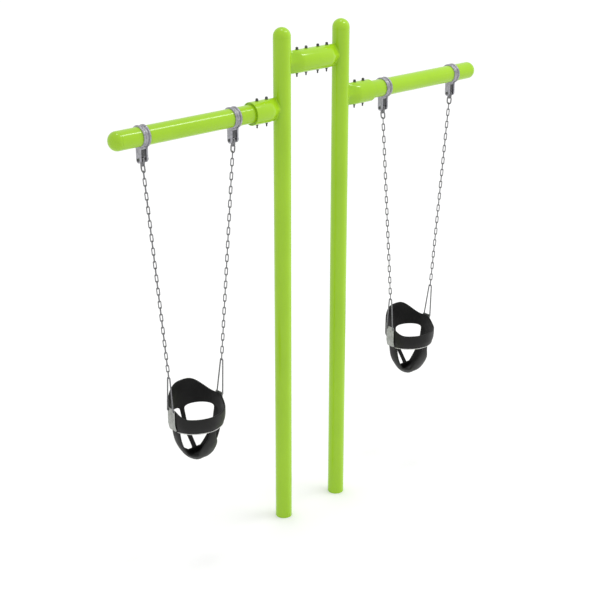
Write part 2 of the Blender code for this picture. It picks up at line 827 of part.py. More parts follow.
def make_seats(materials, swings):
    for side in (-1, 1):
        swing = swings[side]
        place = local_position((side * SEAT_X, 0, APEX_Z), swing)
        tilt = add_empty(f"seat_axis_{side_name(side)}", place, swing)
        make_seat(side, tilt, materials["rubber"])
        for word, offset in (("outer", side), ("inner", -side)):
            label = f"{side_name(side)}_{word}"
            make_side_plate(label, offset, tilt, materials["zinc"])
            make_seat_rod(label, offset, tilt, materials["zinc"])


def build():
    clear_scene()
    materials = make_materials()
    swings = {}
    for side in (-1, 1):
        swings[side] = add_empty(f"swing_axis_{side_name(side)}", (side * SEAT_X, 0, PIVOT_Z))
    make_posts(materials["powder_coat"])
    make_frame_tubes(materials["powder_coat"])
    make_through_bolts(materials["bolt_steel"])
    make_hangers(materials, swings)
    make_chains(materials, swings)
    make_seats(materials, swings)


build()
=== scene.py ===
"""Looks of the two-place cantilever swing set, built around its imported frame. Metres, +Z up."""

import json
import math

import bmesh
import bpy
from mathutils import Matrix, Vector


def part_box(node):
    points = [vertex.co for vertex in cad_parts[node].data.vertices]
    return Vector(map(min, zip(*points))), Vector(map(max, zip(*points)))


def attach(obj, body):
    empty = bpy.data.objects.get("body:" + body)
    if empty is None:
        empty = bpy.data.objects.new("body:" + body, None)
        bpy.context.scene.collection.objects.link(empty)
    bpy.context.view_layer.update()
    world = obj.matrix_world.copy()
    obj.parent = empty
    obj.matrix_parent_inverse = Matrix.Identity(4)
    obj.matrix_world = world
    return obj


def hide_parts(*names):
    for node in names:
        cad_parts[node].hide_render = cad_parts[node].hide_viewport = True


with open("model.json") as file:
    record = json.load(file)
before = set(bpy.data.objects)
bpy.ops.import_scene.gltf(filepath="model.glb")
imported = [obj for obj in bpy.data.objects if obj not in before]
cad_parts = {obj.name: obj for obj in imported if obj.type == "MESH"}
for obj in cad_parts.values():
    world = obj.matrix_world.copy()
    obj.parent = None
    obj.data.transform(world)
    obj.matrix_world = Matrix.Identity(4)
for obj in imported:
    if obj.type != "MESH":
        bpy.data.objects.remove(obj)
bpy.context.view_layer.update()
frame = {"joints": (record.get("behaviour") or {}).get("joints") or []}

MM = 0.001
SIDES = (("left", -1), ("right", 1))
HANGER_SIDES = (("outer", 1), ("inner", -1))

# Camera: the direction it looks from, the point it looks at, and its distance and lens
CAMERA_AZIMUTH = -42.85
CAMERA_ELEVATION = 20.91
CAMERA_DISTANCE = 6.8995
CAMERA_TARGET = (-0.0979, 0.0, 1.2668)
CAMERA_LENS = 79.0

# Stage
WORLD_LEVEL = 0.95
TOP_LEVEL = 0.4
TOP_PLACE = (0.3, 0.4, 6.0)
TOP_ANGLE = 14.0
SIDE_LEVEL = 0.95
SIDE_PLACE = (6.0, -2.2, 1.4)
SIDE_ANGLE = 30.0
STRIP_LEVEL = 34.0
STRIP_PLACE = (1.4, -1.46, 5.3)
STRIP_SIZE = (1.7, 0.3)
FLOOR_HALF_SIZE = 60.0

# Posts, arms and sockets
POST_WALL = 3.2 * MM
ARM_WALL = 3.5 * MM
CAP_WALL = 4 * MM
POST_CAP_SKIRT = 6 * MM
ARM_CAP_SKIRT = 4 * MM
INNER_TUBE_GAP = 88 * MM
SEAM_DEPTH = 0.7 * MM
SOCKET_WALL = 4.5 * MM
SOCKET_RECESS = 4 * MM
SOCKET_LIP = 1.6 * MM
WELD_LEG = 4.5 * MM
WELD_LIFT = 0.2 * MM
WELD_STEPS = 6
COPE_WRAP = 0.66
COPE_SHARPNESS = 1.35
COPE_LENGTH = 66 * MM

# Through-bolts
HEX_CHAMFER = 0.9 * MM
HEAD_RADIUS = 7.6 * MM
HEAD_HEIGHT = 9.5 * MM
HEAD_FOOT = 1.4 * MM
HEAD_WASHER_RADIUS = 8.6 * MM
HEAD_WASHER_HEIGHT = 2 * MM
HEAD_THREAD_RADIUS = 5.4 * MM
HEAD_THREAD_START = 10 * MM
HEAD_THREAD_END = 13.2 * MM
NUT_RADIUS = 6.4 * MM
NUT_HEIGHT = 6 * MM
NUT_FOOT = 1.2 * MM
NUT_WASHER_RADIUS = 8 * MM
NUT_WASHER_HEIGHT = 1.6 * MM
NUT_THREAD_RADIUS = 4 * MM
NUT_THREAD_SHARE = 0.75
WASHER_SINK = 0.4 * MM
THREAD_PITCH = 1.25 * MM
THREAD_DEPTH = 0.55 * MM

# Hangers and chains
BAND_WIDTH = 41 * MM
BAND_CLEARANCE = 0.2 * MM
CLAMP_BAND = 2.0 * MM
RIB_HEIGHT = 5.6 * MM
RIB_WIDTH = 11 * MM
MIDDLE_RIB = 0.5
CHEEK_THICKNESS = 9 * MM
CHEEK_WIDTH = 31 * MM
CHEEK_FLARE = 3 * MM
CHEEK_TOP = 0.86
CHEEK_SHOULDER = 16 * MM
WEB_DROP = 13 * MM
SPACER_HALF_DEPTH = 11 * MM
SWIVEL_EYE = 0.86
LINK_COUNT = 31
LINK_WIRE = 2.6 * MM
LINK_HALF_WIDTH = 6.4 * MM
LINK_TWIST = 45.0

# Seat rods and side plates
ROD_RADIUS = 3.6 * MM
ROD_APEX_HALF_SPAN = 0.169
ROD_BEND = 9 * MM
ROD_EDGE = 5 * MM
ROD_FOOT_DROP = 9 * MM
ROD_GAP = 0.4 * MM
HOOK_RADIUS = 6 * MM
HOOK_TAIL = 5 * MM
PLATE_THICKNESS = 3 * MM
PLATE_CORNER = 7 * MM
PLATE_KNEE_Z = 0.806
PLATE_INWARD = 9 * MM
RIVET_RADIUS = 4.2 * MM
RIVET_HEIGHT = 2.2 * MM
RIVET_PLACES_Z = (0.862, 0.826)

# Bucket seat, with heights and depths from the belt's lower edge and angles in degrees from +X
SEAT_HALF_DEPTH = 136 * MM
SEAT_REAR_DEPTH = 133 * MM
SEAT_CENTRE_Y = -3 * MM
CUP_DEPTH = 201 * MM
BELT_HEIGHT = 82 * MM
SIDE_HEIGHT = 120 * MM
FRONT_RISE_START = -40.0
FRONT_RISE_SPAN = 42.0
FRONT_RISE_POWER = 1.6
BACK_RISE_START = 14.0
BACK_RISE_SPAN = 66.0
RIM_BAND = 6 * MM
RIM_FOOT = 14 * MM
REAR_OPENING_TOP = 52 * MM
REAR_CORNER = 6 * MM
REAR_CORNER_SHARE = 0.15
REAR_ARCH = 5 * MM
SEAT_SQUARENESS = 2.1
FRONT_SQUARENESS = 1.93
BELT_TAPER_HEIGHT = 36 * MM
BELT_TAPER = 0.93
CUP_POWER = 1.7
BACK_TIP_LEAN = 8 * MM
BACK_TIP_LENGTH = 130 * MM
REAR_CURVE_START = 140 * MM
REAR_CURVE = 1.15
REAR_CURVE_END = 0.35
OPENING_BOTTOM_DEPTH = 148 * MM
SIDE_STRAP_FRONT = 31 * MM
SIDE_STRAP_REAR = 36 * MM
SIDE_STRAP_FLARE = 42 * MM
CROTCH_STRAP_HALF_WIDTH = 22 * MM
CROTCH_STRAP_FLARE = 34 * MM
CROTCH_FLARE_DEPTH = 95 * MM
BACK_STRAP_HALF_WIDTH = 12 * MM
RUBBER_THICKNESS = 8 * MM
KEEL_DEPTH = 7 * MM
KEEL_HALF_WIDTH = 16 * MM
# Pale tube along the belt's lower edge: a painted highlight standing for the bright rim line there
RIM_HIGHLIGHT_REACH = 100.0
RIM_HIGHLIGHT_RADIUS = 2.0 * MM
RIM_HIGHLIGHT_DROP = 1.2 * MM
RIM_HIGHLIGHT_INSET = 0.989
RIM_HIGHLIGHT_STEPS = 72
OPENING_COLUMNS = 9
OPENING_ROWS = 7
OPENING_FIRST_ROW = 6
SIDE_STRAP_COLUMNS = 4
BASE_SHARES = (0.78, 0.86, 0.93, 0.975, 0.995)


def box_middle(node):
    low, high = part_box(node)
    return (low + high) / 2


def box_size(node):
    low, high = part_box(node)
    return high - low


def joint_position(name):
    for joint in frame["joints"]:
        if joint["name"] == name:
            return Vector(joint["pos_m"])


POST_RADIUS = box_size("post_right").x / 2
POST_X = box_middle("post_right").x
POST_SEAM_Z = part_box("post_right")[1].z
POST_TOP_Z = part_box("post_cap_right")[1].z
ARM_RADIUS = box_size("arm_right").z / 2
ARM_Z = box_middle("arm_right").z
ARM_SEAM_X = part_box("arm_right")[1].x
ARM_TIP_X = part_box("arm_cap_right")[1].x
SOCKET_RADIUS = box_size("arm_socket_right").z / 2
SOCKET_MOUTH_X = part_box("arm_socket_right")[1].x
CROSS_Z = box_middle("cross_socket_right").z
CLAMP_WIDTH = box_size("clamp_right_outer").x
PIVOT_Z = joint_position("swing_right_hinge").z
SEAT_X = joint_position("swing_right_hinge").x
APEX_Z = joint_position("seat_tilt_right").z
SWIVEL_RADIUS = box_size("swivel_right_outer").y / 2
SWIVEL_DROP = box_size("swivel_right_outer").z - 2 * SWIVEL_RADIUS
SWIVEL_THICKNESS = box_size("swivel_right_outer").x
TOP_LINK_WIRE = box_size("top_link_right_outer").y / 2
TOP_LINK_HALF_LENGTH = box_size("top_link_right_outer").z / 2 - TOP_LINK_WIRE
TOP_LINK_HALF_WIDTH = box_size("top_link_right_outer").x / 2 - TOP_LINK_WIRE
HANGER_HALF_SPAN = box_middle("clamp_right_outer").x - SEAT_X
SEAT_LOW, SEAT_HIGH = (corner.copy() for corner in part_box("bucket_seat_right"))
PLATE_LOW, PLATE_HIGH = (corner.copy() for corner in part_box("side_plate_right_outer"))
BELT_BOTTOM_Z = PLATE_LOW.z - 3 * MM
SEAT_HALF_WIDTH = (SEAT_HIGH.x - SEAT_LOW.x) / 2 + 0.5 * MM
BACK_HEIGHT = SEAT_HIGH.z - BELT_BOTTOM_Z


# Materials

def new_material(name, roughness, metallic=0.0):
    material = bpy.data.materials.new(name)
    material.use_nodes = True
    shader = material.node_tree.nodes["Principled BSDF"]
    shader.inputs["Roughness"].default_value = roughness
    shader.inputs["Metallic"].default_value = metallic
    return material, material.node_tree, shader


def object_coordinates(tree):
    return tree.nodes.new("ShaderNodeTexCoord").outputs["Object"]


def noise(tree, coordinates, scale, detail=3.0):
    node = tree.nodes.new("ShaderNodeTexNoise")
    node.inputs["Scale"].default_value = scale
    node.inputs["Detail"].default_value = detail
    tree.links.new(coordinates, node.inputs["Vector"])
    return node.outputs["Fac"]


def cells(tree, coordinates, scale):
    node = tree.nodes.new("ShaderNodeTexVoronoi")
    node.inputs["Scale"].default_value = scale
    tree.links.new(coordinates, node.inputs["Vector"])
    return node.outputs["Color"]


def colour_between(tree, factor, dark, light, low=0.3, high=0.7):
    ramp = tree.nodes.new("ShaderNodeValToRGB")
    ramp.color_ramp.elements[0].position = low
    ramp.color_ramp.elements[0].color = (*dark, 1.0)
    ramp.color_ramp.elements[1].position = high
    ramp.color_ramp.elements[1].color = (*light, 1.0)
    tree.links.new(factor, ramp.inputs["Fac"])
    return ramp.outputs["Color"]


def value_between(tree, factor, low, high):
    node = tree.nodes.new("ShaderNodeMapRange")
    node.inputs["From Min"].default_value = 0.25
    node.inputs["From Max"].default_value = 0.75
    node.inputs["To Min"].default_value = low
    node.inputs["To Max"].default_value = high
    tree.links.new(factor, node.inputs["Value"])
    return node.outputs["Result"]


def bump(tree, height, strength, distance, normal=None):
    node = tree.nodes.new("ShaderNodeBump")
    node.inputs["Strength"].default_value = strength
    node.inputs["Distance"].default_value = distance
    tree.links.new(height, node.inputs["Height"])
    if normal is not None:
        tree.links.new(normal, node.inputs["Normal"])
    return node.outputs["Normal"]


def powder_coat():
    """Glossy lime powder coat: slight cloudiness and orange peel."""
    material, tree, shader = new_material("lime_powder_coat", 0.2)
    place = object_coordinates(tree)
    clouds = noise(tree, place, 4.0)
    tint = colour_between(tree, clouds, (0.290, 0.520, 0.010), (0.314, 0.552, 0.013))
    tree.links.new(tint, shader.inputs["Base Color"])
    sheen = value_between(tree, noise(tree, place, 60.0), 0.14, 0.22)
    tree.links.new(sheen, shader.inputs["Roughness"])
    peel = bump(tree, noise(tree, place, 420.0, 2.0), 0.12, 0.2 * MM)
    waves = bump(tree, noise(tree, place, 35.0, 2.0), 0.08, 0.4 * MM, peel)
    tree.links.new(waves, shader.inputs["Normal"])
    shader.inputs["Specular IOR Level"].default_value = 0.45
    return material


def galvanised(name, dark, light, spangle):
    """Galvanised steel: zinc spangles in colour and roughness, with a fine pitted surface."""
    material, tree, shader = new_material(name, 0.4, 0.85)
    place = object_coordinates(tree)
    grains = cells(tree, place, spangle)
    tint = colour_between(tree, grains, dark, light, 0.1, 0.9)
    tree.links.new(tint, shader.inputs["Base Color"])
    dullness = value_between(tree, noise(tree, place, 160.0), 0.3, 0.5)
    tree.links.new(dullness, shader.inputs["Roughness"])
    pits = bump(tree, noise(tree, place, 900.0, 4.0), 0.25, 0.15 * MM)
    tree.links.new(bump(tree, grains, 0.08, 0.2 * MM, pits), shader.inputs["Normal"])
    return material


def dark_steel():
    """Dark plated bolts: blotchy colour and a fine rough surface."""
    material, tree, shader = new_material("dark_plated_steel", 0.42, 0.9)
    place = object_coordinates(tree)
    blotches = noise(tree, place, 220.0)
    tint = colour_between(tree, blotches, (0.055, 0.055, 0.058), (0.14, 0.14, 0.145))
    tree.links.new(tint, shader.inputs["Base Color"])
    dullness = value_between(tree, noise(tree, place, 300.0), 0.3, 0.55)
    tree.links.new(dullness, shader.inputs["Roughness"])
    grain = noise(tree, place, 1500.0, 3.0)
    tree.links.new(bump(tree, grain, 0.2, 0.1 * MM), shader.inputs["Normal"])
    return material


def rubber():
    """Moulded black rubber: fine leathery grain, dull patches and a faint bloom."""
    material, tree, shader = new_material("black_rubber", 0.5)
    place = object_coordinates(tree)
    bloom = noise(tree, place, 9.0, 5.0)
    tint = colour_between(tree, bloom, (0.003, 0.003, 0.003), (0.0065, 0.0065, 0.0063))
    tree.links.new(tint, shader.inputs["Base Color"])
    patches = value_between(tree, noise(tree, place, 24.0, 4.0), 0.4, 0.56)
    tree.links.new(patches, shader.inputs["Roughness"])
    grain = bump(tree, noise(tree, place, 800.0, 3.0), 0.28, 0.2 * MM)
    waves = bump(tree, noise(tree, place, 60.0, 3.0), 0.10, 0.6 * MM, grain)
    tree.links.new(waves, shader.inputs["Normal"])
    shader.inputs["Specular IOR Level"].default_value = 0.27
    return material


def painted_rim_highlight_material():
    """Painted highlight: pale grey standing for the bright line of light on the belt's lower rim, uneven
    at random, with a soft grain.
    """
    material, tree, shader = new_material("painted_rim_highlight", 0.45)
    place = object_coordinates(tree)
    highlight_unevenness = noise(tree, place, 30.0)
    tint = colour_between(tree, highlight_unevenness, (0.52, 0.52, 0.50), (0.66, 0.66, 0.65))
    tree.links.new(tint, shader.inputs["Base Color"])
    dullness = value_between(tree, noise(tree, place, 80.0), 0.35, 0.55)
    tree.links.new(dullness, shader.inputs["Roughness"])
    tree.links.new(bump(tree, noise(tree, place, 600.0), 0.15, 0.1 * MM), shader.inputs["Normal"])
    return material


def floor_paint():
    """Pale studio floor."""
    material, tree, shader = new_material("pale_floor", 0.9)
    clouds = noise(tree, object_coordinates(tree), 0.8)
    tint = colour_between(tree, clouds, (0.905, 0.905, 0.905), (0.925, 0.925, 0.925))
    tree.links.new(tint, shader.inputs["Base Color"])
    shader.inputs["Specular IOR Level"].default_value = 0.1
    return material


COAT = powder_coat()
ZINC = galvanised("galvanised_steel", (0.13, 0.13, 0.135), (0.24, 0.24, 0.25), 260.0)
CAST_ZINC = galvanised("galvanised_casting", (0.27, 0.268, 0.295), (0.42, 0.415, 0.45), 120.0)
PLATE_ZINC = galvanised("galvanised_plate", (0.29, 0.30, 0.28), (0.41, 0.42, 0.40), 90.0)
STEEL = dark_steel()
RUBBER = rubber()
# pale grey painted highlight for the belt's lower rim
RIM_HIGHLIGHT_PAINT = painted_rim_highlight_material()


# Shapes

def piece(name, bm, body, material, sharp=38.0, replaces=()):
    """Makes an object of the shape, which moves with a body and may stand for frame nodes."""
    bmesh.ops.recalc_face_normals(bm, faces=bm.faces)
    mesh = bpy.data.meshes.new(name)
    bm.to_mesh(mesh)
    bm.free()
    mesh.materials.append(material)
    mesh.shade_smooth()
    mesh.set_sharp_from_angle(angle=math.radians(sharp))
    obj = bpy.data.objects.new(name, mesh)
    bpy.context.scene.collection.objects.link(obj)
    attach(obj, body)
    if replaces:
        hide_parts(*replaces)
    return obj


def add_shape(bm, shape, matrix=None):
    """Adds another shape to bm, and frees it."""
    if matrix is not None:
        bmesh.ops.transform(shape, matrix=matrix, verts=shape.verts)
    mesh = bpy.data.meshes.new("part")
    shape.to_mesh(mesh)
    shape.free()
    bm.from_mesh(mesh)
    bpy.data.meshes.remove(mesh)


def along(axis, place):
    """Matrix that turns +Z onto a direction and moves the origin to a place."""
    return Matrix.Translation(place) @ Vector(axis).to_track_quat("Z", "Y").to_matrix().to_4x4()


def lathe(profile, segments=64, closed=False):
    """Solid of revolution about Z of (radius, height) points."""
    bm = bmesh.new()
    rings = []
    for radius, height in profile:
        if radius < 1e-7:
            rings.append([bm.verts.new((0, 0, height))])
            continue
        turns = [2 * math.pi * i / segments for i in range(segments)]
        circle = [(radius * math.cos(a), radius * math.sin(a), height) for a in turns]
        rings.append([bm.verts.new(point) for point in circle])
    pairs = list(zip(rings, rings[1:]))
    if closed:
        pairs.append((rings[-1], rings[0]))
    for low, high in pairs:
        for i in range(segments):
            j = (i + 1) % segments
            corners = (low[i % len(low)], low[j % len(low)], high[j % len(high)], high[i % len(high)])
            unique = list(dict.fromkeys(corners))
            if len(unique) > 2:
                bm.faces.new(unique)
    return bm


def loft(rings, closed=True, wrap=False):
    """Grid through rings of points. A closed one joins each ring's ends, wrap joins last to first."""
    bm = bmesh.new()
    rows = [[bm.verts.new(point) for point in ring] for ring in rings]
    pairs = list(zip(rows, rows[1:]))
    if wrap:
        pairs.append((rows[-1], rows[0]))
    for low, high in pairs:
        count = len(low)
        for i in range(count if closed else count - 1):
            j = (i + 1) % count
            bm.faces.new((low[i], low[j], high[j], high[i]))
    return bm


def sweep(points, radius, segments=12, closed=False):
    """Round wire along a path, with rounded ends when it is open."""
    count = len(points)
    tangents = []
    for i in range(count):
        before = points[(i - 1) % count] if closed or i > 0 else points[i]
        after = points[(i + 1) % count] if closed or i < count - 1 else points[i]
        tangents.append((after - before).normalized())
    side = tangents[0].orthogonal().normalized()
    rings = []
    for point, tangent in zip(points, tangents):
        side = (side - tangent * side.dot(tangent)).normalized()
        up = tangent.cross(side)
        turns = [2 * math.pi * k / segments for k in range(segments)]
        rings.append([point + (side * math.cos(a) + up * math.sin(a)) * radius for a in turns])
    if not closed:
        first = points[0] - tangents[0] * radius * 0.5
        last = points[-1] + tangents[-1] * radius * 0.5
        rings.insert(0, [first + (point - points[0]) * 0.6 for point in rings[0]])
        rings.append([last + (point - points[-1]) * 0.6 for point in rings[-1]])
    bm = loft(rings, wrap=closed)
    if not closed:
        bmesh.ops.holes_fill(bm, edges=bm.edges, sides=segments)
    return bm


def prism(outline, half_width, bevel=1.2 * MM):
    """Plate of an outline in (y, z), centred on x = 0, with its rims bevelled."""
    bm = bmesh.new()
    face = bm.faces.new([bm.verts.new((-half_width, y, z)) for y, z in outline])
    grown = bmesh.ops.extrude_face_region(bm, geom=[face])
    moved = [item for item in grown["geom"] if isinstance(item, bmesh.types.BMVert)]
    bmesh.ops.translate(bm, verts=moved, vec=(2 * half_width, 0, 0))
    bmesh.ops.recalc_face_normals(bm, faces=bm.faces)
    rims = [edge for edge in bm.edges if edge.calc_face_angle(0.0) > math.radians(50)]
    bmesh.ops.bevel(bm, geom=rims, offset=bevel, segments=3, profile=0.5, affect="EDGES")
    return bm


def hexagon(radius, height):
    """Hexagonal nut or head standing on z = 0, with chamfered ends."""
    turns = [math.pi / 3 * i for i in range(6)]
    inner = radius - HEX_CHAMFER
    step = HEX_CHAMFER * 0.6
    rings = []
    for reach, z in ((inner, 0), (radius, step), (radius, height - step), (inner, height)):
        rings.append([Vector((reach * math.cos(a), reach * math.sin(a), z)) for a in turns])
    bm = loft(rings)
    bmesh.ops.holes_fill(bm, edges=bm.edges, sides=6)
    return bm


def smooth_step(value):
    value = min(max(value, 0.0), 1.0)
    return value * value * (3 - 2 * value)


# Fixed frame

def dome_points(radius, start, height, steps=14):
    points = []
    for i in range(steps):
        angle = math.pi / 2 * i / steps
        points.append((radius * math.cos(angle), start + height * math.sin(angle)))
    return points + [(0.0, start + height)]


def tube_with_seam(radius, wall, start, end):
    """Open tube whose ends have small rounded rims."""
    rim = SEAM_DEPTH
    return [
        (radius - rim, start), (radius, start + rim), (radius, end - rim), (radius - rim, end),
        (radius - wall, end), (radius - wall, start),
    ]


def domed_cap(radius, seam, skirt, top):
    """Profile of a domed cap, from its seam with the tube up to its top."""
    start = seam + SEAM_DEPTH
    dome_start = start + skirt
    foot = [(radius - CAP_WALL, seam), (radius - SEAM_DEPTH, seam), (radius, start)]
    return foot + dome_points(radius, dome_start, top - dome_start)


def make_posts():
    for word, side in SIDES:
        bm = lathe(tube_with_seam(POST_RADIUS, POST_WALL, 0.0, POST_SEAM_Z), 96, closed=True)
        bmesh.ops.translate(bm, verts=bm.verts, vec=(side * POST_X, 0, 0))
        piece(f"post_tube_{word}", bm, "frame", COAT, replaces=[f"post_{word}"])
        bm = lathe(domed_cap(POST_RADIUS, POST_SEAM_Z, POST_CAP_SKIRT, POST_TOP_Z), 96)
        bmesh.ops.translate(bm, verts=bm.verts, vec=(side * POST_X, 0, 0))
        piece(f"post_dome_{word}", bm, "frame", COAT, replaces=[f"post_cap_{word}"])


def make_arms():
    start = POST_X + INNER_TUBE_GAP
    for word, side in SIDES:
        place = along((side, 0, 0), (0, 0, ARM_Z))
        bm = lathe(tube_with_seam(ARM_RADIUS, ARM_WALL, start, ARM_SEAM_X), 96, closed=True)
        bmesh.ops.transform(bm, matrix=place, verts=bm.verts)
        piece(f"arm_tube_{word}", bm, "frame", COAT, replaces=[f"arm_{word}"])
        bm = lathe(domed_cap(ARM_RADIUS, ARM_SEAM_X, ARM_CAP_SKIRT, ARM_TIP_X), 96)
        bmesh.ops.transform(bm, matrix=place, verts=bm.verts)
        piece(f"arm_dome_{word}", bm, "frame", COAT, replaces=[f"arm_cap_{word}"])


def post_surface(point):
    """The point moved onto the post, whose axis is Z through the origin."""
    flat = Vector((point.x, point.y, 0)).normalized() * (POST_RADIUS + WELD_LIFT)
    return Vector((flat.x, flat.y, point.z))


def cope_point(angle):
    """Point of the socket's pointed end on the post, at an angle about the socket's axis."""
    reach = COPE_WRAP * (1 - abs(math.sin(angle)) ** COPE_SHARPNESS)
    y = math.copysign(POST_RADIUS * reach, math.cos(angle))
    x = math.sqrt(POST_RADIUS**2 - y**2)
    return Vector((x, y, SOCKET_RADIUS * math.sin(angle)))


def weld_leg(angle):
    """Reach of the weld along the post and along the socket, at an angle about the socket's axis."""
    return WELD_LEG * (0.5 + 0.5 * abs(math.sin(angle)))


def weld_curve(angle):
    """Concave weld from the post to the socket's surface, at an angle about the socket's axis."""
    corner = cope_point(angle)
    leg = weld_leg(angle)
    ahead = cope_point(angle + 0.01) - cope_point(angle - 0.01)
    normal = Vector((corner.x, corner.y, 0)).normalized()
    away = ahead.cross(normal).normalized()
    if away.x > 0 or away.z * math.sin(angle) < 0:
        away = -away
    on_post = post_surface(corner + away * leg)
    on_socket = socket_skin(angle, leg / COPE_LENGTH)
    points = []
    for i in range(WELD_STEPS + 1):
        t = i / WELD_STEPS
        points.append(on_post * (1 - t) ** 2 + corner * 2 * t * (1 - t) + on_socket * t * t)
    return points


def socket_skin(angle, share):
    """Point of the socket between its mitred end (share 0) and its round part (share 1)."""
    corner = cope_point(angle)
    round_x = POST_RADIUS + COPE_LENGTH
    blend = smooth_step(share)
    y = corner.y + (SOCKET_RADIUS * math.cos(angle) - corner.y) * blend
    x = corner.x + (round_x - corner.x) * share
    return Vector((x, y, SOCKET_RADIUS * math.sin(angle)))


def socket_shape(outer_rings):
    """Socket along +X from a post at the origin: weld, mitred stretch and round stretch."""
    segments = 96
    columns = []
    for i in range(segments):
        angle = 2 * math.pi * (i + 0.5) / segments
        points = weld_curve(angle)
        first = weld_leg(angle) / COPE_LENGTH
        for step in range(1, 9):
            points.append(socket_skin(angle, first + (1 - first) * step / 8))
        for radius, x in outer_rings:
            points.append(Vector((x, radius * math.cos(angle), radius * math.sin(angle))))
        columns.append(points)
    return loft([list(ring) for ring in zip(*columns)])


def make_sockets():
    reach = SOCKET_MOUTH_X - POST_X
    lip = SOCKET_LIP
    bore = SOCKET_RADIUS - SOCKET_WALL
    mouth = [
        (SOCKET_RADIUS, reach - 2 * lip), (SOCKET_RADIUS, reach - lip),
        (SOCKET_RADIUS - lip * 0.3, reach - lip * 0.3), (SOCKET_RADIUS - lip, reach),
        (bore + lip, reach), (bore + lip * 0.3, reach - lip * 0.3), (bore, reach - lip),
        (bore, reach - SOCKET_RECESS), (ARM_RADIUS - 1 * MM, reach - SOCKET_RECESS),
    ]
    middle = POST_X
    seam = [
        (SOCKET_RADIUS, middle - 2.5 * MM), (SOCKET_RADIUS, middle - 0.5 * MM),
        (SOCKET_RADIUS - 0.3 * MM, middle - 0.02 * MM), (ARM_RADIUS, middle - 0.02 * MM),
    ]
    for word, side in SIDES:
        outward = Matrix.Translation((side * POST_X, 0, ARM_Z)) @ Matrix.Diagonal((side, 1, 1, 1))
        bm = socket_shape(mouth)
        bmesh.ops.transform(bm, matrix=outward, verts=bm.verts)
        name = f"arm_socket_tube_{word}"
        piece(name, bm, "frame", COAT, replaces=[f"arm_socket_{word}"])
        inward = Matrix.Translation((side * POST_X, 0, CROSS_Z)) @ Matrix.Diagonal((-side, 1, 1, 1))
        bm = socket_shape(seam)
        bmesh.ops.transform(bm, matrix=inward, verts=bm.verts)
        name = f"cross_socket_tube_{word}"
        piece(name, bm, "frame", COAT, replaces=[f"cross_socket_{word}"])
    half_length = POST_X - INNER_TUBE_GAP
    bm = lathe(tube_with_seam(ARM_RADIUS, ARM_WALL, -half_length, half_length), 96, closed=True)
    bmesh.ops.transform(bm, matrix=along((1, 0, 0), (0, 0, CROSS_Z)), verts=bm.verts)
    piece("cross_inner_tube", bm, "frame", COAT, replaces=["cross_tube"])


def threaded(radius, start, end):
    """Profile of a threaded stretch with a chamfered tip, from start up to end."""
    points = []
    for i in range(int((end - start - 1 * MM) / THREAD_PITCH)):
        points.append((radius, start + i * THREAD_PITCH))
        points.append((radius - THREAD_DEPTH, start + (i + 0.5) * THREAD_PITCH))
    return points + [(radius - 0.3 * MM, end - 1 * MM), (radius - 1.1 * MM, end), (0.0, end)]


def washer(radius, height):
    rim = height * 0.3
    lower = [(0, 0), (radius - rim, 0), (radius, rim)]
    upper = [(radius, height - rim), (radius - rim, height), (0, height)]
    return lathe(lower + upper, 40)


def bolt_head(x, top):
    """Washer, head and thread end on top of a socket."""
    bm = washer(HEAD_WASHER_RADIUS, HEAD_WASHER_HEIGHT)
    bmesh.ops.translate(bm, verts=bm.verts, vec=(0, 0, top - WASHER_SINK))
    head = hexagon(HEAD_RADIUS, HEAD_HEIGHT)
    add_shape(bm, head, Matrix.Translation((0, 0, top + HEAD_FOOT)))
    thread = threaded(HEAD_THREAD_RADIUS, top + HEAD_THREAD_START, top + HEAD_THREAD_END)
    add_shape(bm, lathe([(0, top)] + thread, 24))
    bmesh.ops.translate(bm, verts=bm.verts, vec=(x, 0, 0))
    return bm


def bolt_tail(x, bottom, length):
    """Washer, nut and thread end under a socket."""
    bm = washer(NUT_WASHER_RADIUS, NUT_WASHER_HEIGHT)
    add_shape(bm, hexagon(NUT_RADIUS, NUT_HEIGHT), Matrix.Translation((0, 0, NUT_FOOT)))
    thread = threaded(NUT_THREAD_RADIUS, NUT_HEIGHT, length * NUT_THREAD_SHARE)
    add_shape(bm, lathe([(0, 0)] + thread, 24))
    place = Matrix.Translation((x, 0, bottom + WASHER_SINK)) @ Matrix.Rotation(math.pi, 4, "X")
    bmesh.ops.transform(bm, matrix=place, verts=bm.verts)
    return bm


def make_through_bolts():
    for word, _ in SIDES:
        for group, z in (("arm", ARM_Z), ("cross", CROSS_Z)):
            for number in (1, 2):
                label = f"{group}_{word}_{number}"
                x = box_middle(f"{label}_bolt").x
                bm = bolt_head(x, z + SOCKET_RADIUS)
                piece(f"{label}_head", bm, "frame", STEEL, replaces=[f"{label}_bolt"])
                bottom = z - SOCKET_RADIUS
                bm = bolt_tail(x, bottom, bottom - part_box(f"{label}_bolt")[0].z)
                piece(f"{label}_tail", bm, "frame", STEEL, replaces=[f"{label}_nut"])


# Hangers

def hanger_places():
    """Each hanger's side word and label, its seat's middle X and its own direction from there."""
    for word, side in SIDES:
        for place, offset in HANGER_SIDES:
            yield word, f"{word}_{place}", side * SEAT_X, side * offset


def band_profile():
    """Clamp band from end to end: two rounded ribs with a lower one between them."""
    half = BAND_WIDTH / 2
    edge = half - RIB_WIDTH / 2
    base = ARM_RADIUS + CLAMP_BAND
    points = [(ARM_RADIUS + BAND_CLEARANCE, -half)]
    steps = 48
    for i in range(steps + 1):
        x = -half + 2 * half * i / steps
        rise = 0.0
        for centre, share in ((-edge, 1.0), (0.0, MIDDLE_RIB), (edge, 1.0)):
            reach = min(abs(x - centre) / (RIB_WIDTH / 2), 1.0)
            rise = max(rise, share * math.sqrt(1 - reach * reach))
        points.append((base + RIB_HEIGHT * rise, x))
    points.append((ARM_RADIUS + BAND_CLEARANCE, half))
    return points


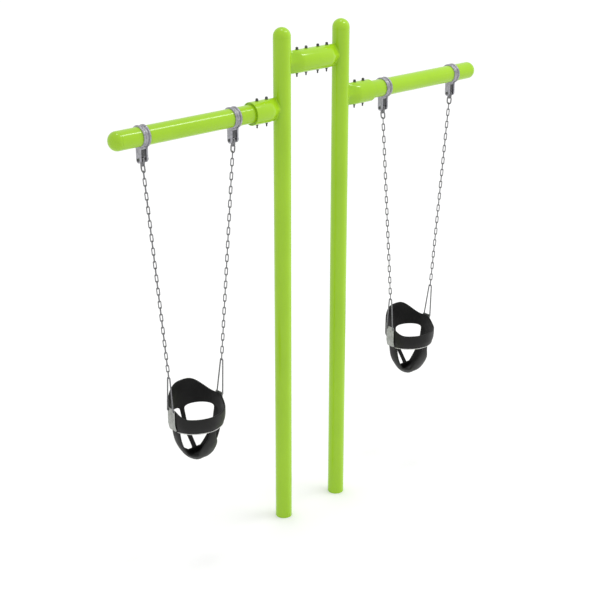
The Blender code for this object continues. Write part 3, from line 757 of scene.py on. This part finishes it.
def cheek_outline(drop):
    """Cheek plate in (y, z) about the arm's axis: wide under the band, round at the pivot."""
    top = ARM_RADIUS + 1 * MM
    shoulder = top + CHEEK_SHOULDER
    half = CHEEK_WIDTH / 2
    points = [(-half - CHEEK_FLARE, -top * CHEEK_TOP), (-half, -shoulder)]
    for i in range(17):
        angle = math.pi + math.pi * i / 16
        points.append((half * math.cos(angle), -drop + half * math.sin(angle)))
    return points + [(half, -shoulder), (half + CHEEK_FLARE, -top * CHEEK_TOP)]


def clamp_shape():
    """Ribbed band round the arm with two cheek plates, about the arm's axis, along X."""
    bm = lathe(band_profile(), 96, closed=True)
    bmesh.ops.transform(bm, matrix=along((1, 0, 0), (0, 0, 0)), verts=bm.verts)
    drop = ARM_Z - PIVOT_Z
    for side in (-1, 1):
        x = side * (CLAMP_WIDTH - CHEEK_THICKNESS) / 2
        cheek = prism(cheek_outline(drop), CHEEK_THICKNESS / 2, 1.6 * MM)
        add_shape(bm, cheek, Matrix.Translation((x, 0, 0)))
        boss = washer(CHEEK_WIDTH * 0.36, 2 * MM)
        add_shape(bm, boss, along((side, 0, 0), (side * (CLAMP_WIDTH / 2 - 1 * MM), 0, -drop)))
    web_top = ARM_RADIUS - 1 * MM
    web_low = ARM_RADIUS + WEB_DROP
    half = CHEEK_WIDTH / 2 - 2 * MM
    web = [(-half, -web_top), (-half, -web_low), (half, -web_low), (half, -web_top)]
    add_shape(bm, prism(web, CLAMP_WIDTH / 2 - 2 * MM))
    return bm


def pivot_shape():
    """Pivot bolt along X: domed head, shank, washers, nut and thread end."""
    half = CLAMP_WIDTH / 2 + 1 * MM
    head = [(0, -half - 5.5 * MM), (4 * MM, -half - 5 * MM), (7 * MM, -half - 3.2 * MM), (8 * MM, -half)]
    shank = [(5.5 * MM, -half), (5.5 * MM, half), (0, half)]
    bm = lathe(head + shank, 32)
    add_shape(bm, hexagon(8.2 * MM, 6.5 * MM), Matrix.Translation((0, 0, half)))
    add_shape(bm, lathe([(0, half)] + threaded(4.6 * MM, half + 6 * MM, half + 9 * MM), 24))
    bmesh.ops.transform(bm, matrix=along((1, 0, 0), (0, 0, 0)), verts=bm.verts)
    return bm


def swivel_shape():
    """Rounded block on the pivot bolt with an eye for the top link, about the pivot."""
    points = []
    for i in range(13):
        angle = math.pi * i / 12
        points.append((SWIVEL_RADIUS * math.cos(angle), SWIVEL_RADIUS * math.sin(angle)))
    for i in range(13):
        angle = math.pi + math.pi * i / 12
        y = SWIVEL_RADIUS * SWIVEL_EYE * math.cos(angle)
        points.append((y, -SWIVEL_DROP + SWIVEL_RADIUS * math.sin(angle)))
    return prism(points, SWIVEL_THICKNESS / 2, 2.2 * MM)


def link_path(half_width, half_length, steps=9):
    """Centre line of an oval link in the XZ plane, about its middle."""
    straight = half_length - half_width
    points = []
    for end in (1, -1):
        for i in range(steps + 1):
            angle = math.pi * i / steps
            x = end * half_width * math.cos(angle)
            points.append(Vector((x, 0, end * (straight + half_width * math.sin(angle)))))
    return points


def spacer_shape():
    """Block between the cheeks, from the arm down to just above the swivel."""
    gap = CLAMP_WIDTH / 2 - CHEEK_THICKNESS - 0.3 * MM
    top = ARM_Z - ARM_RADIUS - 1 * MM
    low = PIVOT_Z + SWIVEL_RADIUS + 2 * MM
    half = SPACER_HALF_DEPTH
    return prism([(-half, top), (-half, low), (half, low), (half, top)], gap)


def make_hangers():
    for word, label, seat_x, outward in hanger_places():
        x = seat_x + outward * HANGER_HALF_SPAN
        bm = clamp_shape()
        bmesh.ops.translate(bm, verts=bm.verts, vec=(x, 0, ARM_Z))
        piece(f"clamp_cast_{label}", bm, "frame", CAST_ZINC, replaces=[f"clamp_{label}"])
        bm = spacer_shape()
        bmesh.ops.translate(bm, verts=bm.verts, vec=(x, 0, 0))
        piece(f"clamp_spacer_{label}", bm, "frame", STEEL)
        bm = pivot_shape()
        bmesh.ops.translate(bm, verts=bm.verts, vec=(x, 0, PIVOT_Z))
        name = f"pivot_screw_{label}"
        piece(name, bm, "frame", STEEL, replaces=[f"pivot_bolt_{label}"])
        bm = swivel_shape()
        bmesh.ops.translate(bm, verts=bm.verts, vec=(x, 0, PIVOT_Z))
        name = f"swivel_block_{label}"
        piece(name, bm, f"swing_{word}", ZINC, replaces=[f"swivel_{label}"])


# Chains

def make_chains():
    for word, label, seat_x, outward in hanger_places():
        top = Vector((seat_x + outward * HANGER_HALF_SPAN, 0, PIVOT_Z - SWIVEL_DROP))
        bottom = Vector((seat_x + outward * ROD_APEX_HALF_SPAN, 0, APEX_Z))
        down = (bottom - top).normalized()
        turn = (-down).to_track_quat("Z", "Y").to_matrix().to_4x4()
        centre = top + down * TOP_LINK_HALF_LENGTH
        oval = link_path(TOP_LINK_HALF_WIDTH, TOP_LINK_HALF_LENGTH, 14)
        bm = sweep(oval, TOP_LINK_WIRE, 14, closed=True)
        bmesh.ops.transform(bm, matrix=Matrix.Translation(centre) @ turn, verts=bm.verts)
        name = f"top_oval_{label}"
        piece(name, bm, f"swing_{word}", ZINC, replaces=[f"top_link_{label}"])
        first = top + down * 2 * TOP_LINK_HALF_LENGTH
        pitch = ((bottom - first).length + TOP_LINK_WIRE + ROD_RADIUS) / LINK_COUNT
        half_length = pitch / 2 + LINK_WIRE
        start = first - down * (TOP_LINK_WIRE + LINK_WIRE)
        chain = bmesh.new()
        for number in range(LINK_COUNT):
            middle = start + down * (half_length + number * pitch)
            angle = LINK_TWIST if number % 2 else -LINK_TWIST
            twist = Matrix.Rotation(math.radians(angle), 4, "Z")
            link = sweep(link_path(LINK_HALF_WIDTH, half_length), LINK_WIRE, 10, closed=True)
            add_shape(chain, link, Matrix.Translation(middle) @ turn @ twist)
        name = f"chain_links_{label}"
        piece(name, chain, f"swing_{word}", ZINC, replaces=[f"chain_{label}"])


# Seat rods and plates

def rod_points(apex, outward):
    """Centre line of a seat rod: hooked foot, straight leg, bend, leg, hooked foot."""
    width = PLATE_HIGH.y - PLATE_LOW.y
    middle_y = (PLATE_HIGH.y + PLATE_LOW.y) / 2
    foot_reach = PLATE_HIGH.x - SEAT_X + ROD_RADIUS + ROD_GAP
    foot_x = apex.x + outward * (foot_reach - ROD_APEX_HALF_SPAN)
    foot_z = PLATE_HIGH.z - ROD_FOOT_DROP
    legs = []
    for end in (-1, 1):
        y = middle_y + end * (width / 2 - ROD_EDGE)
        hook = []
        for i in range(6):
            angle = math.pi / 2 * i / 5
            x = foot_x - outward * HOOK_RADIUS * (1 - math.cos(angle))
            hook.append(Vector((x, y, foot_z - HOOK_RADIUS * math.sin(angle))))
        tail_x = foot_x - outward * (HOOK_RADIUS + HOOK_TAIL)
        hook.append(Vector((tail_x, y, foot_z - HOOK_RADIUS)))
        legs.append(hook[::-1])
    arc = []
    for i in range(11):
        angle = math.pi * (1 - i / 10)
        z = apex.z + ROD_BEND * (math.sin(angle) - 1)
        arc.append(Vector((apex.x, ROD_BEND * math.cos(angle), z)))
    return legs[0] + arc + legs[1][::-1]


def plate_shape():
    """Side plate of the right seat's outer side: rounded, bent inwards at its lower end."""
    width = PLATE_HIGH.y - PLATE_LOW.y
    middle = (PLATE_HIGH.y + PLATE_LOW.y) / 2
    slope = PLATE_INWARD / (PLATE_KNEE_Z - PLATE_LOW.z)
    corner = PLATE_CORNER
    rows = []
    steps = 30
    for i in range(steps + 1):
        z = PLATE_HIGH.z - (PLATE_HIGH.z - PLATE_LOW.z) * i / steps
        into_corner = max(corner - min(PLATE_HIGH.z - z, z - PLATE_LOW.z), 0.0)
        half = width / 2 - corner + math.sqrt(corner ** 2 - into_corner ** 2)
        x = PLATE_HIGH.x - max(PLATE_KNEE_Z - z, 0.0) * slope
        rows.append([Vector((x, middle + half * k / 4, z)) for k in range(-4, 5)])
    bm = loft(rows, closed=False)
    bmesh.ops.recalc_face_normals(bm, faces=bm.faces)
    bmesh.ops.solidify(bm, geom=bm.faces[:], thickness=PLATE_THICKNESS)
    rims = [edge for edge in bm.edges if edge.calc_face_angle(0.0) > math.radians(55)]
    bmesh.ops.bevel(bm, geom=rims, offset=0.7 * MM, segments=2, profile=0.5, affect="EDGES")
    return bm


def rivet_shape(radius, height):
    """Domed rivet head standing on z = 0."""
    points = [(radius, 0.0), (radius, height * 0.3)]
    for i in range(1, 6):
        angle = math.pi / 2 * i / 6
        points.append((radius * math.cos(angle), height * 0.3 + height * 0.7 * math.sin(angle)))
    return lathe([(0, -1 * MM), (radius, -1 * MM)] + points + [(0, height)], 24)


def make_rods_and_plates():
    middle_y = (PLATE_HIGH.y + PLATE_LOW.y) / 2
    for word, label, seat_x, outward in hanger_places():
        body = f"seat_{word}"
        apex = Vector((seat_x + outward * ROD_APEX_HALF_SPAN, 0, APEX_Z))
        bm = sweep(rod_points(apex, outward), ROD_RADIUS, 14)
        piece(f"rod_wire_{label}", bm, body, ZINC, replaces=[f"seat_rod_{label}"])
        bm = plate_shape()
        for z in RIVET_PLACES_Z:
            rivet = rivet_shape(RIVET_RADIUS, RIVET_HEIGHT)
            add_shape(bm, rivet, along((1, 0, 0), (PLATE_HIGH.x - 0.2 * MM, middle_y, z)))
        move = Matrix.Translation((seat_x, 0, 0)) @ Matrix.Diagonal((outward, 1, 1, 1))
        place = move @ Matrix.Translation((-SEAT_X, 0, 0))
        bmesh.ops.transform(bm, matrix=place, verts=bm.verts)
        name = f"plate_steel_{label}"
        piece(name, bm, body, PLATE_ZINC, replaces=[f"side_plate_{label}"])


# Bucket seats

def rim_height(angle):
    """Height of the seat's upper edge above the belt's lower edge, at an angle from +X."""
    degrees = math.degrees(angle)
    if degrees < 0:
        rise = smooth_step((degrees - FRONT_RISE_START) / FRONT_RISE_SPAN) ** FRONT_RISE_POWER
        return BELT_HEIGHT + (SIDE_HEIGHT - BELT_HEIGHT) * rise
    rise = smooth_step((degrees - BACK_RISE_START) / BACK_RISE_SPAN)
    return SIDE_HEIGHT + (BACK_HEIGHT - SIDE_HEIGHT) * rise


def opening_top(share, rear):
    """Height of an opening's upper edge, at a share of the way across it."""
    if not rear:
        return 0.0
    into_corner = 1 - min(min(share, 1 - share) / REAR_CORNER_SHARE, 1.0)
    arch = REAR_ARCH * (2 * share - 1) ** 2
    return REAR_OPENING_TOP - arch - REAR_CORNER * (1 - math.sqrt(1 - into_corner ** 2))


def cup_scale(height):
    """Share of the full plan size at a height above the belt's lower edge."""
    if height >= 0:
        return BELT_TAPER + (1 - BELT_TAPER) * smooth_step(height / BELT_TAPER_HEIGHT)
    depth = min(-height / CUP_DEPTH, 1.0)
    return BELT_TAPER * math.sqrt(1 - depth**CUP_POWER)


def plan_point(angle, height):
    """Point of the seat's outer skin: a slightly squared ellipse, with a leaning back and a keel."""
    power = 2 / (SEAT_SQUARENESS if angle > 0 else FRONT_SQUARENESS)
    scale = cup_scale(height)
    x = math.copysign(abs(math.cos(angle)) ** power, math.cos(angle)) * SEAT_HALF_WIDTH
    half_depth = SEAT_REAR_DEPTH if angle > 0 else SEAT_HALF_DEPTH
    y = math.copysign(abs(math.sin(angle)) ** power, math.sin(angle)) * half_depth
    fall = BACK_HEIGHT - height
    lean = BACK_TIP_LEAN * max(1 - fall / BACK_TIP_LENGTH, 0.0) ** 2
    lean += REAR_CURVE * max(fall - REAR_CURVE_START, 0.0) ** 2
    lean *= max(math.sin(angle), 0.0) ** 2
    lean *= smooth_step((CUP_DEPTH + height) / (REAR_CURVE_END * CUP_DEPTH))
    keel = KEEL_DEPTH * math.exp(-((x * scale / KEEL_HALF_WIDTH) ** 2))
    keel *= smooth_step(-height / CUP_DEPTH * 2 - 1) * smooth_step(0.5 - math.sin(angle))
    return Vector((x * scale, y * scale + SEAT_CENTRE_Y - lean, height + keel))


def strap_edges(height):
    """Angles at one level of the crotch strap's, side strap's and back strap's edges."""
    scale = cup_scale(height)
    half_width = SEAT_HALF_WIDTH * scale
    half_depth = SEAT_HALF_DEPTH * scale
    crotch_flare = CROTCH_STRAP_FLARE * smooth_step(-height / CROTCH_FLARE_DEPTH)
    crotch_share = (CROTCH_STRAP_HALF_WIDTH + crotch_flare) / half_width
    crotch = -math.pi / 2 + math.asin(min(crotch_share, 0.6))
    front = -math.asin(min(SIDE_STRAP_FRONT / half_depth, 0.62))
    side_flare = SIDE_STRAP_FLARE * min(max(-height / OPENING_BOTTOM_DEPTH, 0.0), 1.0) ** 3
    rear = math.asin(min((SIDE_STRAP_REAR + side_flare) / half_depth, 0.9))
    back = math.pi / 2 - math.asin(min(BACK_STRAP_HALF_WIDTH / half_width, 0.33))
    return crotch, front, rear, back


def between(start, end, count):
    return [start + (end - start) * i / count for i in range(count)]


def column_angles(height):
    """Angles of the cage's columns on the +X side, from front centre to back centre."""
    crotch, front, rear, back = strap_edges(height)
    angles = [-math.pi / 2, (crotch - math.pi / 2) / 2]
    angles += between(crotch, front, OPENING_COLUMNS)
    angles += between(front, rear, SIDE_STRAP_COLUMNS)
    angles += between(rear, back, OPENING_COLUMNS)
    return angles + [back, (back + math.pi / 2) / 2, math.pi / 2]


def opening_spans():
    """First and last column of the leg hole and of the rear opening."""
    front = (2, 2 + OPENING_COLUMNS)
    rear_start = front[1] + SIDE_STRAP_COLUMNS
    return front, (rear_start, rear_start + OPENING_COLUMNS)


def column_heights(column, angle):
    """Heights of the cage's points down one column."""
    front, rear = opening_spans()
    top = rim_height(angle)
    share = (column - rear[0]) / OPENING_COLUMNS
    opening = opening_top(min(max(share, 0.0), 1.0), column >= rear[0])
    if front[1] < column < rear[0]:
        blend = smooth_step((column - front[1]) / (rear[0] - front[1]))
        opening = opening_top(0.0, True) * blend
    heights = [top, top - RIM_BAND] + between(top - RIM_FOOT, opening + RIM_BAND, 3)
    heights += [opening + RIM_BAND]
    heights += between(opening, -OPENING_BOTTOM_DEPTH, OPENING_ROWS) + [-OPENING_BOTTOM_DEPTH]
    return heights + [-CUP_DEPTH * share for share in BASE_SHARES]


def seat_rings():
    """Rings of the seat's outer skin from rim to base, each starting at front centre."""
    reference = column_angles(BACK_HEIGHT)
    heights = [column_heights(column, angle) for column, angle in enumerate(reference)]
    rings = []
    for row in range(len(heights[0])):
        level = heights[len(reference) // 2][row]
        right = []
        for column, angle in enumerate(column_angles(level)):
            right.append(plan_point(angle, heights[column][row]))
        left = [Vector((-point.x, point.y, point.z)) for point in reversed(right[1:-1])]
        rings.append(right + left)
    return rings


def in_opening(column, row, columns):
    """Whether a face of the cage lies in a leg hole or a rear opening."""
    if column >= columns // 2:
        column = columns - 1 - column
    rows = range(OPENING_FIRST_ROW, OPENING_FIRST_ROW + OPENING_ROWS)
    return row in rows and any(start <= column < end for start, end in opening_spans())


def seat_shape():
    """Sheet of the seat's outer skin with its openings, about the belt's lower edge."""
    bm = bmesh.new()
    rows = [[bm.verts.new(point) for point in ring] for ring in seat_rings()]
    columns = len(rows[0])
    for row, (upper, lower) in enumerate(zip(rows, rows[1:])):
        for column in range(columns):
            if in_opening(column, row, columns):
                continue
            following = (column + 1) % columns
            bm.faces.new((upper[column], lower[column], lower[following], upper[following]))
    middle = sum((vert.co for vert in rows[-1]), Vector()) / columns
    base = bm.verts.new(middle)
    for column in range(columns):
        bm.faces.new((rows[-1][column], base, rows[-1][(column + 1) % columns]))
    loose = [vert for vert in bm.verts if not vert.link_faces]
    bmesh.ops.delete(bm, geom=loose, context="VERTS")
    return bm


def painted_rim_highlight_tube():
    """Pale tube of painted highlight along the belt's lower edge, round the front from strap to strap.
    """
    reach = math.radians(RIM_HIGHLIGHT_REACH)
    points = []
    for i in range(RIM_HIGHLIGHT_STEPS + 1):
        turn = -reach + 2 * reach * i / RIM_HIGHLIGHT_STEPS
        point = plan_point(abs(turn) - math.pi / 2, -RIM_HIGHLIGHT_DROP)
        point.x *= math.copysign(RIM_HIGHLIGHT_INSET, turn)
        point.y *= RIM_HIGHLIGHT_INSET
        points.append(point)
    return sweep(points, RIM_HIGHLIGHT_RADIUS, 10)


def make_seats():
    for word, side in SIDES:
        # pale tube painted as the highlight along the belt's lower edge
        bm = painted_rim_highlight_tube()
        bmesh.ops.translate(bm, verts=bm.verts, vec=(side * SEAT_X, 0, BELT_BOTTOM_Z))
        piece(f"painted_rim_highlight_tube_{word}", bm, f"seat_{word}", RIM_HIGHLIGHT_PAINT)
        bm = seat_shape()
        bmesh.ops.translate(bm, verts=bm.verts, vec=(side * SEAT_X, 0, BELT_BOTTOM_Z))
        nodes = [f"bucket_seat_{word}"]
        name = f"bucket_rubber_{word}"
        seat = piece(name, bm, f"seat_{word}", RUBBER, 180.0, replaces=nodes)
        wall = seat.modifiers.new("wall", "SOLIDIFY")
        wall.thickness = RUBBER_THICKNESS
        wall.offset = -1
        rounding = seat.modifiers.new("rounding", "SUBSURF")
        rounding.levels = 2
        rounding.render_levels = 2


# Stage

def make_floor():
    bm = bmesh.new()
    bmesh.ops.create_grid(bm, x_segments=8, y_segments=8, size=FLOOR_HALF_SIZE)
    mesh = bpy.data.meshes.new("floor")
    bm.to_mesh(mesh)
    bm.free()
    mesh.materials.append(floor_paint())
    floor = bpy.data.objects.new("floor", mesh)
    bpy.context.scene.collection.objects.link(floor)


def make_camera():
    azimuth = math.radians(CAMERA_AZIMUTH)
    elevation = math.radians(CAMERA_ELEVATION)
    level = math.cos(elevation)
    back = Vector((math.sin(azimuth) * level, -math.cos(azimuth) * level, math.sin(elevation)))
    camera = bpy.data.cameras.new("camera")
    camera.lens = CAMERA_LENS
    camera.sensor_width = 36.0
    camera.clip_end = 300.0
    obj = bpy.data.objects.new("camera", camera)
    obj.location = Vector(CAMERA_TARGET) + back * CAMERA_DISTANCE
    obj.rotation_mode = "QUATERNION"
    obj.rotation_quaternion = (-back).to_track_quat("-Z", "Y")
    bpy.context.scene.collection.objects.link(obj)
    bpy.context.scene.camera = obj


def add_light(name, kind, level, place, target, size=None):
    light = bpy.data.lights.new(name, kind)
    light.energy = level
    if size is not None:
        light.shape = "RECTANGLE"
        light.size, light.size_y = size
    obj = bpy.data.objects.new(name, light)
    obj.location = place
    obj.rotation_mode = "QUATERNION"
    obj.rotation_quaternion = (Vector(target) - Vector(place)).to_track_quat("-Z", "Y")
    bpy.context.scene.collection.objects.link(obj)
    return obj


def make_world():
    world = bpy.data.worlds.new("studio")
    world.use_nodes = True
    background = world.node_tree.nodes["Background"]
    background.inputs["Color"].default_value = (1.0, 1.0, 1.0, 1.0)
    background.inputs["Strength"].default_value = WORLD_LEVEL
    bpy.context.scene.world = world
    bpy.context.scene.view_settings.view_transform = "Standard"


def make_lights():
    top = add_light("top", "SUN", TOP_LEVEL, TOP_PLACE, (0, 0, 0))
    top.data.angle = math.radians(TOP_ANGLE)
    side = add_light("side", "SUN", SIDE_LEVEL, SIDE_PLACE, (0, 0, 0))
    side.data.angle = math.radians(SIDE_ANGLE)
    side.visible_glossy = False
    add_light("strip", "AREA", STRIP_LEVEL, STRIP_PLACE, (STRIP_PLACE[0], 0.0, ARM_Z), STRIP_SIZE)


make_posts()
make_arms()
make_sockets()
make_through_bolts()
make_hangers()
make_chains()
make_rods_and_plates()
make_seats()
make_floor()
make_world()
make_lights()
make_camera()
